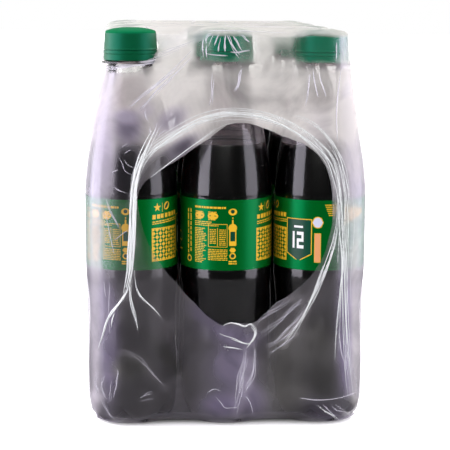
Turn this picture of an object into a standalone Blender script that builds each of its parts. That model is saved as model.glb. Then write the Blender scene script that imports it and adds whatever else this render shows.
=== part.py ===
"""A shrink-wrapped twelve pack of small soft drink bottles, three across and four deep.

Metres, +Z up. The origin is on the ground under the middle of the pack. +X runs to the right across
the three columns, and +Y runs from the front row to the back row. The clear film is one sleeve: it
goes over the caps, down both long sides and under the bases, and each end shrinks to an open
bullseye with a gathered edge. The front left cap has pushed out through the film.
"""

import math

import bmesh
import bpy
from mathutils import Euler, Matrix, Vector
from mathutils.bvhtree import BVHTree

# Layout
COLUMNS = ("left", "centre", "right")
ROWS = (1, 2, 3, 4)
ACROSS = 0.0535  # between the axes of neighbours in a row, at label height
DEEP = 0.0530  # between the axes of neighbours in a column
STEPS = 12  # flats round every turned piece

# The film's pull tips the bottles to the left, and the right column leans in more from row to row.
LEAN = math.radians(-0.6)
RIGHT_LEANS = (LEAN, math.radians(-2.2), math.radians(-2.9), math.radians(-3.4))

# One bottle, with heights from its own foot
GAP = 0.0003  # air between pieces that touch
WALL = 0.0005  # PET wall
FOOT_R = 0.0195
HEEL_R, HEEL_Z = 0.0249, 0.012
WAIST_R, WAIST_Z = 0.0241, 0.070
LEDGE_R = 0.0260  # label and the ledges that it sits between
LABEL_LOW, LABEL_TOP = 0.0895, 0.1290
LABEL_WALL = 0.00035
SHOULDER_R, SHOULDER_Z = 0.0224, 0.158
NECK_R, NECK_Z = 0.0126, 0.199
RING_R, RING_LOW, RING_TOP = 0.0163, 0.2024, 0.2036
FINISH_R, MOUTH_Z = 0.0127, 0.2178
MOUTH_R = 0.0109
PUSH_UP = 0.0045  # how far the base is domed in
DRINK_LEVEL = 0.1578

# The screw cap
CAP_R, CAP_LOW = 0.0150, 0.2040
CAP_RIM_R, CAP_RIM_Z = 0.0141, 0.2200
CAP_TOP_Z = 0.2220
CAP_WALL = 0.0014

# The film sleeve and the bullseye opening in each end
FILM = 0.0005
UNDER_BASE = FILM + GAP  # height of a bottle's foot over the ground
HOLE_LEFT, HOLE_RIGHT = -0.053, 0.060  # from the centre column's axis
ARCH_TOP, ARCH_FOOT = 0.176, LABEL_TOP + UNDER_BASE
SIDE_FOOT = LABEL_LOW + UNDER_BASE
TIP_LEFT, TIP_RIGHT, TIP_Z = -0.002, 0.018, 0.063
ARCH_STEPS = 14
V_STEPS = 3
EDGE_R = 0.0009  # gathered edge round the bullseye
NECK_HOLE_R = 0.0173  # tear that the front left neck comes through

DEPTH = DEEP * (len(ROWS) - 1)  # from the front row's axes to the back row's


def fresh_collections():
    """Empty the scene, then make one collection for the pack and one for its cutters and guides."""
    for thing in list(bpy.data.objects):
        bpy.data.objects.remove(thing, do_unlink=True)
    found = []
    for name in ("twelve_pack", "cutters"):
        group = bpy.data.collections.new(name)
        bpy.context.scene.collection.children.link(group)
        found.append(group)
    return found


def finish(name, colour, roughness, transmission=0.0):
    """A Principled material."""
    material = bpy.data.materials.new(name)
    material.use_nodes = True
    shader = material.node_tree.nodes["Principled BSDF"]
    shader.inputs["Base Color"].default_value = (*colour, 1.0)
    shader.inputs["Roughness"].default_value = roughness
    shader.inputs["Metallic"].default_value = 0.0
    shader.inputs["Transmission Weight"].default_value = transmission
    return material


def add_object(name, data, group, material=None):
    thing = bpy.data.objects.new(name, data)
    group.objects.link(thing)
    if material:
        data.materials.append(material)
    return thing


# ---------------------------------------------------------------- turned pieces


def profile_mesh(name, outline, closed=False):
    """An outline of (radius, height) points as a chain of edges in the XZ plane."""
    mesh = bpy.data.meshes.new(name)
    edges = [(i, i + 1) for i in range(len(outline) - 1)]
    if closed:
        edges.append((len(outline) - 1, 0))
    mesh.from_pydata([(r, 0.0, z) for r, z in outline], edges, [])
    return mesh


def turn(thing):
    """Spin a profile once round Z into a smooth-shaded solid."""
    screw = thing.modifiers.new("turned", "SCREW")
    screw.steps = screw.render_steps = STEPS
    screw.use_merge_vertices = True
    screw.merge_threshold = 0.00005
    screw.use_smooth_shade = True


def bottle_outside():
    """Outer skin from the mouth down to the foot."""
    recess = LEDGE_R - LABEL_WALL - GAP
    return [
        (FINISH_R, MOUTH_Z),
        (FINISH_R, RING_TOP),
        (RING_R, RING_TOP),
        (RING_R, RING_LOW),
        (NECK_R, NECK_Z),
        (SHOULDER_R, SHOULDER_Z),
        (recess, LABEL_TOP + GAP),
        (recess, LABEL_LOW - GAP),
        (WAIST_R, WAIST_Z),
        (HEEL_R, HEEL_Z),
        (FOOT_R, 0.0),
    ]


def bottle_inside():
    """Inner skin from the mouth down to the foot. It runs straight from the label's top to the waist."""
    recess = LEDGE_R - LABEL_WALL - GAP
    return [
        (MOUTH_R, MOUTH_Z),
        (NECK_R - 2 * WALL, NECK_Z),
        (SHOULDER_R - WALL, SHOULDER_Z),
        (recess - WALL, LABEL_TOP),
        (WAIST_R - WALL, WAIST_Z),
        (HEEL_R - WALL, HEEL_Z + WALL / 2),
        (FOOT_R - WALL, 2 * WALL),
    ]


def bottle_outline():
    """Up the inner skin from the middle of the base, over the mouth and down the outer skin."""
    inner = [(0.0, PUSH_UP + 2 * WALL), *reversed(bottle_inside())]
    return inner + bottle_outside() + [(0.0, PUSH_UP)]


def drink_outline():
    """The drink, which fills the inner skin up to its level."""
    inner = bottle_inside()
    (high_r, high_z), (low_r, low_z) = inner[2], inner[3]
    share = (DRINK_LEVEL - low_z) / (high_z - low_z)
    level_r = low_r + share * (high_r - low_r)
    wet = [(level_r - GAP, DRINK_LEVEL)]
    wet += [(r - GAP, z) for r, z in inner[3:-1]]
    foot_r, foot_z = inner[-1]
    wet.append((foot_r - GAP, foot_z + GAP))
    return [(0.0, DRINK_LEVEL), *wet, (0.0, PUSH_UP + 2 * WALL + GAP)]


def label_outline():
    """The wrap-round label: outside downwards, then back up its inside."""
    inner = LEDGE_R - LABEL_WALL
    return [(LEDGE_R, LABEL_TOP), (LEDGE_R, LABEL_LOW), (inner, LABEL_LOW), (inner, LABEL_TOP)]


def cap_outline():
    """Over the domed top, down the skirt, and up inside to the underside of the top."""
    bore = CAP_R - CAP_WALL
    roof = MOUTH_Z + GAP
    return [
        (0.0, CAP_TOP_Z),
        (CAP_RIM_R, CAP_RIM_Z),
        (CAP_R, CAP_LOW),
        (bore, CAP_LOW),
        (bore, roof),
        (0.0, roof),
    ]


def place(row, column, middle=0.0):
    """Matrix of a bottle's own frame: its foot on the film, tipped about the label's top edge.

    middle is where the centre column's axis stands at the label's top edge.
    """
    lean = RIGHT_LEANS[ROWS.index(row)] if column == "right" else LEAN
    across = middle + (COLUMNS.index(column) - 1) * ACROSS - LABEL_TOP * math.sin(lean)
    lift = UNDER_BASE + FOOT_R * math.sin(abs(lean))
    spot = Vector((across, ROWS.index(row) * DEEP - DEPTH / 2, lift))
    return Matrix.Translation(spot) @ Euler((0.0, lean, 0.0)).to_matrix().to_4x4()


def add_bottles(group):
    """Four nodes for each of the twelve bottles, on an empty that stands where the bottle does."""
    kinds = {
        "bottle": (bottle_outline(), False, finish("bottle_pet", (0.85, 0.9, 0.88), 0.05, 1.0)),
        "drink": (drink_outline(), False, finish("dark_drink", (0.02, 0.006, 0.005), 0.1)),
        "label": (label_outline(), True, finish("green_label", (0.0, 0.14, 0.05), 0.3)),
        "cap": (cap_outline(), False, finish("green_cap", (0.0, 0.25, 0.11), 0.3)),
    }
    for row in ROWS:
        for column in COLUMNS:
            spot = bpy.data.objects.new(f"spot_{row}_{column}", None)
            spot.matrix_world = place(row, column, MIDDLE)
            group.objects.link(spot)
            for kind, (outline, closed, material) in kinds.items():
                name = f"{kind}_{row}_{column}"
                piece = add_object(name, profile_mesh(name, outline, closed), group, material)
                piece.parent = spot
                turn(piece)


# ---------------------------------------------------------------- film


def wrapped_points(row, column, clearance, middle=0.0):
    """Points all round one bottle, this far out from it, that the tight film may rest on."""
    outline = [(r, z) for r, z in bottle_outside() if z <= RING_TOP]
    outline += label_outline()[:2]
    bursts_out = (row, column) == (ROWS[0], COLUMNS[0])
    if not bursts_out:
        outline += cap_outline()[:3]
    frame = place(row, column, middle)
    found = []
    for radius, height in outline:
        rise = clearance if height > RING_LOW else 0.0
        for step in range(STEPS):
            angle = math.tau * step / STEPS
            reach = radius + clearance if radius else 0.0
            point = Vector((reach * math.cos(angle), reach * math.sin(angle), height + rise))
            point = frame @ point
            if height == 0.0:
                point.z = UNDER_BASE - clearance
            found.append(point)
    return found


def off_middle():
    """How far the centre column stands from the middle of the wrapped pack's width."""
    points = [p for row in ROWS for column in COLUMNS for p in wrapped_points(row, column, FILM + GAP)]
    return -(min(p.x for p in points) + max(p.x for p in points)) / 2


MIDDLE = off_middle()


def tight_hull(name, clearance, group, material=None):
    """The tight skin round all twelve bottles."""
    skin = bmesh.new()
    for row in ROWS:
        for column in COLUMNS:
            for point in wrapped_points(row, column, clearance, MIDDLE):
                skin.verts.new(point)
    hull = bmesh.ops.convex_hull(skin, input=skin.verts)
    loose = {v for v in hull["geom_interior"] + hull["geom_unused"] if isinstance(v, bmesh.types.BMVert)}
    bmesh.ops.delete(skin, geom=list(loose), context="VERTS")
    bmesh.ops.remove_doubles(skin, verts=skin.verts, dist=0.0002)
    bmesh.ops.recalc_face_normals(skin, faces=skin.faces)
    mesh = bpy.data.meshes.new(name)
    skin.to_mesh(mesh)
    skin.free()
    return add_object(name, mesh, group, material)


def bullseye_outline():
    """(x, z) points round the opening: an arch, two straight sides, and a blunt V below."""
    middle, half = MIDDLE + (HOLE_LEFT + HOLE_RIGHT) / 2, (HOLE_RIGHT - HOLE_LEFT) / 2
    arch = []
    for step in range(ARCH_STEPS + 1):
        angle = math.pi * step / ARCH_STEPS
        rise = (ARCH_TOP - ARCH_FOOT) * math.sin(angle)
        arch.append((middle + half * math.cos(angle), ARCH_FOOT + rise))
    shares = [step / V_STEPS for step in range(V_STEPS + 1)]

    def slope(top_x, tip_x, share):
        return MIDDLE + top_x + (tip_x - top_x) * share, SIDE_FOOT + (TIP_Z - SIDE_FOOT) * share

    left = [slope(HOLE_LEFT, TIP_LEFT, share) for share in shares]
    right = [slope(HOLE_RIGHT, TIP_RIGHT, share) for share in reversed(shares)]
    return arch + left + right


def bullseye_cutter(side, group):
    """A block with the opening's outline that reaches through one end of the film."""
    inner = side * (DEPTH / 2 + LEDGE_R - 0.018)
    outer = side * (DEPTH / 2 + LEDGE_R + 0.020)
    block = bmesh.new()
    ring = [block.verts.new((x, inner, z)) for x, z in bullseye_outline()]
    face = block.faces.new(ring)
    pulled = bmesh.ops.extrude_face_region(block, geom=[face])
    moved = [v for v in pulled["geom"] if isinstance(v, bmesh.types.BMVert)]
    bmesh.ops.translate(block, verts=moved, vec=(0.0, outer - inner, 0.0))
    bmesh.ops.recalc_face_normals(block, faces=block.faces)
    mesh = bpy.data.meshes.new("bullseye_cutter")
    block.to_mesh(mesh)
    block.free()
    return hide_tool(add_object("bullseye_cutter", mesh, group))


def neck_cutter(group):
    """A drum round the front left neck, from under its support ring upwards."""
    height = 0.060
    drum = bmesh.new()
    bmesh.ops.create_cone(
        drum, cap_ends=True, segments=STEPS, radius1=NECK_HOLE_R, radius2=NECK_HOLE_R, depth=height
    )
    mesh = bpy.data.meshes.new("neck_cutter")
    drum.to_mesh(mesh)
    drum.free()
    tool = add_object("neck_cutter", mesh, group)
    start = RING_LOW - GAP + height / 2
    tool.matrix_world = place(ROWS[0], COLUMNS[0], MIDDLE) @ Matrix.Translation((0.0, 0.0, start))
    return hide_tool(tool)


def hide_tool(tool):
    tool.hide_render = True
    tool.display_type = "WIRE"
    return tool


def gathered_edge(side, film, group):
    """The film's thick gathered edge: a tube that follows the opening over the film's surface."""
    surface = BVHTree.FromObject(film, bpy.context.evaluated_depsgraph_get())
    curve = bpy.data.curves.new("gathered_edge_path", "CURVE")
    curve.dimensions = "3D"
    curve.bevel_depth = EDGE_R
    curve.bevel_resolution = 0
    outline = bullseye_outline()
    spline = curve.splines.new("POLY")
    spline.points.add(len(outline) - 1)
    spline.use_cyclic_u = True
    start = side * (DEPTH / 2 + 2 * LEDGE_R)
    for point, (x, z) in zip(spline.points, outline):
        hit = surface.ray_cast(Vector((x, start, z)), Vector((0.0, -side, 0.0)))[0]
        point.co = (x, hit.y + side * (EDGE_R - FILM + GAP), z, 1.0)
    path = add_object("gathered_edge_path", curve, group)
    bpy.context.view_layer.update()
    evaluated = path.evaluated_get(bpy.context.evaluated_depsgraph_get())
    mesh = bpy.data.meshes.new_from_object(evaluated)
    tube = bmesh.new()
    tube.from_mesh(mesh)
    bmesh.ops.remove_doubles(tube, verts=tube.verts, dist=0.00001)
    bmesh.ops.recalc_face_normals(tube, faces=tube.faces)
    tube.to_mesh(mesh)
    tube.free()
    edge = add_object("gathered_edge", mesh, group)
    edge.matrix_world = path.matrix_world
    bpy.data.objects.remove(path, do_unlink=True)
    return hide_tool(edge)


def combine(piece, tool, operation):
    """Cut a tool away from a piece, or join it on."""
    step = piece.modifiers.new(tool.name, "BOOLEAN")
    step.operation = operation
    step.solver = "EXACT"
    step.object = tool


def add_film(group, tools):
    """The sleeve, hollow, with its two bullseyes and the tear round the front left neck."""
    film = tight_hull("film", FILM + GAP, group, finish("shrink_film", (0.9, 0.9, 0.92), 0.15, 1.0))
    bpy.context.view_layer.update()
    edges = [gathered_edge(side, film, tools) for side in (-1, 1)]
    combine(film, hide_tool(tight_hull("film_inside", GAP, tools)), "DIFFERENCE")
    for side in (-1, 1):
        combine(film, bullseye_cutter(side, tools), "DIFFERENCE")
    combine(film, neck_cutter(tools), "DIFFERENCE")
    for edge in edges:
        combine(film, edge, "UNION")


def main():
    pack, tools = fresh_collections()
    add_bottles(pack)
    add_film(pack, tools)


main()
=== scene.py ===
"""Looks for the shrink-wrapped twelve pack: clear bottles, dark drink, green caps and labels, film.

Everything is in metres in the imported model's frame: +Y runs from the front row to the back row.
"""

import math
import random

import bmesh
import bpy
import numpy as np
from mathutils import Matrix, Vector
from mathutils.bvhtree import BVHTree


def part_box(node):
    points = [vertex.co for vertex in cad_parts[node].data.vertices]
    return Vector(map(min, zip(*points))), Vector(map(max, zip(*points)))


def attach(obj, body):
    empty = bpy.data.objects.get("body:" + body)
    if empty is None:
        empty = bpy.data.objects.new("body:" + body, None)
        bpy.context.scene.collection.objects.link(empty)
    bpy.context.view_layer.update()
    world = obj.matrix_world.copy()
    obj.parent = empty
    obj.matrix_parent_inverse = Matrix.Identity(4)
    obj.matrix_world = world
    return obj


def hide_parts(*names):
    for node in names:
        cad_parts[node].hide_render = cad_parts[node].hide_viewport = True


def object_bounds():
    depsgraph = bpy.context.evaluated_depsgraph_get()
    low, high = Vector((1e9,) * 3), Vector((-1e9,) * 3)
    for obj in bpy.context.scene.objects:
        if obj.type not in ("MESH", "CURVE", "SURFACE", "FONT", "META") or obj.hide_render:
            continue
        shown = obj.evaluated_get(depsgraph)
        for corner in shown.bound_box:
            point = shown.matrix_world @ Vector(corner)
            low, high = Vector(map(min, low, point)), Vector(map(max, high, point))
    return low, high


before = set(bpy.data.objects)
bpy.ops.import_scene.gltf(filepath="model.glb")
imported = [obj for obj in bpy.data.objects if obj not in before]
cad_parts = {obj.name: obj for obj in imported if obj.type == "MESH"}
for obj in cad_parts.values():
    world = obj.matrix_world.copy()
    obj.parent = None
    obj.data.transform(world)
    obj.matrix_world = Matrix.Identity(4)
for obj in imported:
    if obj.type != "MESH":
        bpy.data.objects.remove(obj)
CAD_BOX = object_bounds()

MM = 0.001
ROWS = (1, 2, 3, 4)
COLUMNS = ("left", "centre", "right")
SPOTS = [(row, column) for row in ROWS for column in COLUMNS]

# Camera
VIEW_SIDE = 450  # pixels across the square view
CAMERA_AT = (-0.0626, -0.8785, 0.2452)
CAMERA_TURN, CAMERA_DIP, CAMERA_ROLL = 4.25, 9.45, 0.84  # degrees right, down, clockwise
FOCAL = 1425  # in pixels of the view
SENSOR = 36.0  # millimetres

LEFT_LEVEL, RIGHT_LEVEL = 4.6, 3.0  # how bright the side softboxes' faces look beside white paper
SOFTBOX_AIM = (0.0, -0.08, 0.475)
SOFTBOX_REACH, SOFTBOX_TURN = 1.15, 84  # metres from their aim, degrees round from the front
WHITE = (1.0, 1.0, 1.0, 1.0)

# One bottle in millimetres, heights from its own foot
LABEL_R, LABEL_LOW, LABEL_MIDDLE, LABEL_TOP = 26.0, 89.5, 110.0, 129.0
MOUTH = 217.8
LEVEL, MISTED = 157.8, 186.0  # the drink's surface, and the top of the mist over it
PET_WALL = 0.4
CAP_LOW = 204.0
ROUND, LABEL_STEPS = 65, 120  # steps round a bottle, and round its label
FEET = 5

FILM_LOOK = ("haze", "lilac", "shade")  # values that the film's mesh gives its material


# ---------------------------------------------------------------- camera, floor and light


def camera_axes():
    """Right, up and forward directions of the camera."""
    turn, dip, roll = (math.radians(a) for a in (CAMERA_TURN, CAMERA_DIP, CAMERA_ROLL))
    forward = Vector((math.sin(turn) * math.cos(dip), math.cos(turn) * math.cos(dip), -math.sin(dip)))
    level = Vector((math.cos(turn), -math.sin(turn), 0.0))
    above = level.cross(forward)
    right = level * math.cos(roll) + above * math.sin(roll)
    up = above * math.cos(roll) - level * math.sin(roll)
    return right, up, forward


def add_camera():
    """The camera, a little above the caps and to the left of the pack's middle."""
    right, up, forward = camera_axes()
    data = bpy.data.cameras.new("camera")
    data.sensor_width = SENSOR
    data.lens = FOCAL / VIEW_SIDE * SENSOR
    data.clip_start, data.clip_end = 0.05, 60.0
    camera = bpy.data.objects.new("camera", data)
    camera.matrix_world = Matrix((
        (right.x, up.x, -forward.x, CAMERA_AT[0]),
        (right.y, up.y, -forward.y, CAMERA_AT[1]),
        (right.z, up.z, -forward.z, CAMERA_AT[2]),
        (0.0, 0.0, 0.0, 1.0),
    ))
    bpy.context.scene.collection.objects.link(camera)
    bpy.context.scene.camera = camera


def add_lamp(name, at, towards, width, height, radiance, colour):
    """A rectangular softbox that shines towards a point, given by how bright its face looks."""
    data = bpy.data.lights.new(name, "AREA")
    data.shape = "RECTANGLE"
    data.size, data.size_y = width, height
    data.energy = radiance * math.pi * width * height
    data.color = linear(colour)[:3]
    lamp = bpy.data.objects.new(name, data)
    lamp.location = at
    lamp.rotation_euler = (Vector(towards) - Vector(at)).to_track_quat("-Z", "Y").to_euler()
    bpy.context.scene.collection.objects.link(lamp)
    return lamp


def add_studio():
    """White sweep behind, dark room in front, a tall softbox at each side, and three soft fill lamps."""
    add_floor()
    turn = math.radians(SOFTBOX_TURN)
    _, aim_y, aim_z = SOFTBOX_AIM
    for name, side, level in (("softbox_left", -1, LEFT_LEVEL), ("softbox_right", 1, RIGHT_LEVEL)):
        at = (side * SOFTBOX_REACH * math.sin(turn), aim_y - SOFTBOX_REACH * math.cos(turn), aim_z)
        add_lamp(name, at, SOFTBOX_AIM, 1.7, 1.45, level, "#f6f0ff")
    # the fills light what is matt and leave the clear walls' reflections alone
    middle = (0.0, 0.0, 0.12)
    for name, at, width, height, level in (
        ("fill_top", (0.0, 0.25, 1.5), 1.5, 1.3, 0.9),
        ("fill_front", (-0.25, -1.45, 0.85), 1.0, 1.0, 3.2),
        ("fill_right", (1.1, -0.6, 0.5), 0.8, 0.8, 2.8),
    ):
        add_lamp(name, at, middle, width, height, level, "#ffffff").visible_glossy = False
    scene = bpy.context.scene
    scene.view_settings.view_transform = "Standard"
    scene.cycles.transparent_max_bounces = 80
    scene.cycles.max_bounces = 12
    scene.cycles.sample_clamp_indirect = 3.0
    add_room(scene)


def add_room(scene):
    """What lights and mirrors round the pack: dark low in front, and bright high up and behind."""
    world = bpy.data.worlds.new("studio")
    scene.world = world
    world.use_nodes = True
    tree = world.node_tree
    tree.nodes.clear()
    place = add_node(tree, "ShaderNodeTexCoord")
    split = add_node(tree, "ShaderNodeSeparateXYZ", {"Vector": place.outputs["Generated"]})
    up_and_back = {0: split.outputs["Z"], 1: 0.3, 2: split.outputs["Y"]}
    lift = add_node(tree, "ShaderNodeMath", up_and_back, operation="MULTIPLY_ADD")
    rise = add_node(
        tree, "ShaderNodeMapRange",
        {"Value": lift.outputs[0], "From Min": -0.45, "From Max": 0.7, "To Min": 0.07, "To Max": 1.6},
        interpolation_type="SMOOTHSTEP",
    )
    room = add_node(tree, "ShaderNodeBackground", {"Strength": rise.outputs["Result"], "Color": WHITE})
    sweep = add_node(tree, "ShaderNodeBackground", {"Color": WHITE})
    path = add_node(tree, "ShaderNodeLightPath")
    seen = {0: path.outputs["Is Camera Ray"], 1: room.outputs[0], 2: sweep.outputs[0]}
    both = add_node(tree, "ShaderNodeMixShader", seen)
    add_node(tree, "ShaderNodeOutputWorld", {"Surface": both.outputs[0]})


def add_floor():
    """A pale floor: bright where it is looked at. What the pack mirrors of it is a grey table top."""
    reach, table, sunk, inset = 7.0, 0.44, 0.0006, 0.024
    mesh = bpy.data.meshes.new("floor")
    corners = [(-reach, -reach, 0), (reach, -reach, 0), (reach, reach, 0), (-reach, reach, 0)]
    mesh.from_pydata(corners, [], [(0, 1, 2, 3)])
    floor = bpy.data.objects.new("floor", mesh)
    floor.location.z = -sunk
    bpy.context.scene.collection.objects.link(floor)
    unlit = {"Specular IOR Level": 0.0, "Emission Color": WHITE}
    material = principled("white_sweep", "#f4f4f4", 0.9, more=unlit)
    tree = material.node_tree
    shader = tree.nodes["Principled BSDF"]
    place = add_node(tree, "ShaderNodeTexCoord").outputs["Object"]
    # how far outside the pack's foot a point is: the floor is painted dark under the pack, a painted shadow
    # that brightens round it
    low, high = CAD_BOX
    half = ((high.x - low.x) / 2 - inset, (high.y - low.y) / 2 - inset, 0.0)
    around = add_node(tree, "ShaderNodeVectorMath", {0: place}, operation="ABSOLUTE")
    outside = add_node(tree, "ShaderNodeVectorMath", {0: around.outputs[0], 1: half}, operation="SUBTRACT")
    most = {0: outside.outputs[0], 1: (0.0, 0.0, 0.0)}
    clamped = add_node(tree, "ShaderNodeVectorMath", most, operation="MAXIMUM")
    gap = add_node(tree, "ShaderNodeVectorMath", {0: clamped.outputs[0]}, operation="LENGTH")
    for socket, edge, dark, bright in (
        ("Emission Strength", 0.03, 0.0, 0.75),
        ("Base Color", 0.012, 0.03, 0.9),
    ):
        ramp = add_node(
            tree, "ShaderNodeMapRange",
            {"Value": gap.outputs["Value"], "From Max": edge, "To Min": dark, "To Max": bright},
            interpolation_type="SMOOTHSTEP",
        )
        tree.links.new(ramp.outputs["Result"], shader.inputs[socket])
    far = add_node(tree, "ShaderNodeVectorMath", {0: place}, operation="LENGTH")
    past = add_node(
        tree, "ShaderNodeMapRange",
        {"Value": far.outputs["Value"], "From Min": 0.76 * table, "From Max": table},
        interpolation_type="SMOOTHSTEP",
    )
    grey = add_node(tree, "ShaderNodeBsdfDiffuse", {"Color": linear("#828282")})
    gone = add_node(tree, "ShaderNodeBsdfTransparent")
    fading = {0: past.outputs["Result"], 1: grey.outputs[0], 2: gone.outputs[0]}
    top = add_node(tree, "ShaderNodeMixShader", fading)
    path = add_node(tree, "ShaderNodeLightPath")
    seen = {0: path.outputs["Is Camera Ray"], 1: top.outputs[0], 2: shader.outputs[0]}
    both = add_node(tree, "ShaderNodeMixShader", seen)
    tree.links.new(both.outputs[0], tree.nodes["Material Output"].inputs["Surface"])
    mesh.materials.append(material)


# ---------------------------------------------------------------- materials


def linear(code):
    """An sRGB hex colour as linear RGBA."""
    parts = [int(code[i : i + 2], 16) / 255 for i in (1, 3, 5)]
    return (*[p / 12.92 if p <= 0.04045 else ((p + 0.055) / 1.055) ** 2.4 for p in parts], 1.0)


def add_node(tree, kind, inputs=None, **settings):
    """A node with its settings; each input, by name or number, takes a value or another node's output."""
    node = tree.nodes.new(kind)
    for name, value in settings.items():
        setattr(node, name, value)
    for key, value in (inputs or {}).items():
        if isinstance(value, bpy.types.NodeSocket):
            tree.links.new(value, node.inputs[key])
        else:
            node.inputs[key].default_value = value
    return node


def principled(name, colour, roughness, ior=1.5, more=None):
    """A plastic, ink or liquid, with more of the shader's inputs where it needs them."""
    material = bpy.data.materials.new(name)
    material.use_nodes = True
    shader = material.node_tree.nodes["Principled BSDF"]
    values = {"Base Color": linear(colour), "Roughness": roughness, "IOR": ior, **(more or {})}
    for socket, value in values.items():
        shader.inputs[socket].default_value = value
    return material


def clear_skin(name, colour, roughness, ior, gloss="#ffffff"):
    """A skin too thin to bend what is behind it: clear straight on, and shiny at a slant."""
    material = bpy.data.materials.new(name)
    material.use_nodes = True
    tree = material.node_tree
    tree.nodes.clear()
    clear = add_node(tree, "ShaderNodeBsdfTransparent", {"Color": linear(colour)})
    shine = add_node(tree, "ShaderNodeBsdfGlossy", {"Roughness": roughness, "Color": linear(gloss)})
    slant = add_node(tree, "ShaderNodeFresnel", {"IOR": ior})
    by_slant = {0: slant.outputs[0], 1: clear.outputs[0], 2: shine.outputs[0]}
    both = add_node(tree, "ShaderNodeMixShader", by_slant)
    out = add_node(tree, "ShaderNodeOutputMaterial", {"Surface": both.outputs[0]})
    return material, both, out


def blown_pet():
    """Stretch-blown PET, 0.4 mm thick: clear, with the sharp reflections of a mould-smooth outside."""
    return clear_skin("blown_pet", "#ffffff", 0.09, 1.5)[0]


def blown_pet_inside():
    """The inside of the same wall, which shines less because the drink wets it."""
    return clear_skin("blown_pet_inside", "#fefefe", 0.08, 1.12)[0]


def misted_pet():
    """The dry inside wall over the drink, misted with fine drops that catch the light."""
    material, both, out = clear_skin("misted_pet", "#f2ecee", 0.12, 1.3)
    tree = material.node_tree
    drops = add_node(tree, "ShaderNodeBsdfDiffuse", {"Color": linear("#d0cad0")})
    misted = add_node(tree, "ShaderNodeMixShader", {0: 0.09, 1: both.outputs[0], 2: drops.outputs[0]})
    tree.links.new(misted.outputs[0], out.inputs["Surface"])
    return material


def thick_pet():
    """The injection-moulded neck, ten times as thick as the wall, so that its ring looks smoky."""
    return clear_skin("thick_pet", "#a89c9e", 0.06, 1.57)[0]


def cola():
    """Dark brown drink: nearly black through the bottle, red where little of it is in the way.

    It wets the wall, so where the two meet it mirrors a third of what it would in air."""
    wet = {"Transmission Weight": 1.0, "Specular Tint": linear("#959595")}
    material = principled("cola", "#ffffff", 0.3, ior=1.34, more=wet)
    tree = material.node_tree
    soak = {"Color": linear("#d18526"), "Density": 300.0}
    depth = add_node(tree, "ShaderNodeVolumeAbsorption", soak)
    tree.links.new(depth.outputs[0], tree.nodes["Material Output"].inputs["Volume"])
    return material


def drink_surface():
    """The drink's open surface, which shows the dark under it."""
    return principled("drink_surface", "#1d1113", 0.3, ior=1.34, more={"Specular IOR Level": 0.15})


def printed_film_label():
    """Gravure-printed label film with a pearly green ink, whose sheen has a cool green of its own."""
    sheen = {"Specular Tint": linear("#00d884"), "Specular IOR Level": 0.95}
    return principled("printed_label_film", "#004d10", 0.36, ior=1.65, more=sheen)


def ink(name, colour):
    """One printed colour on the label film, with the same satin sheen."""
    return principled(name, colour, 0.34, more={"Specular IOR Level": 0.3})


def moulded_green_pe(name="moulded_green_pe", colour="#074628"):
    """Injection-moulded polyethylene cap: satin, with soft broad highlights in a paler green."""
    sheen = {"Specular Tint": linear("#3cf0cd"), "Specular IOR Level": 0.45}
    return principled(name, colour, 0.42, more=sheen)


def green_pe_painted_paler():
    """The same cap where the film lies tight on it, painted paler: a painted brightening for the light that
    runs about between them.
    """
    return moulded_green_pe("green_pe_painted_paler", "#00704e")


def matt_green_pe():
    """The cap's top, from a blasted part of the same mould: matt, so that it keeps its green at a slant."""
    return principled("matt_green_pe", "#00643c", 0.75, more={"Specular IOR Level": 0.05})


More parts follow.
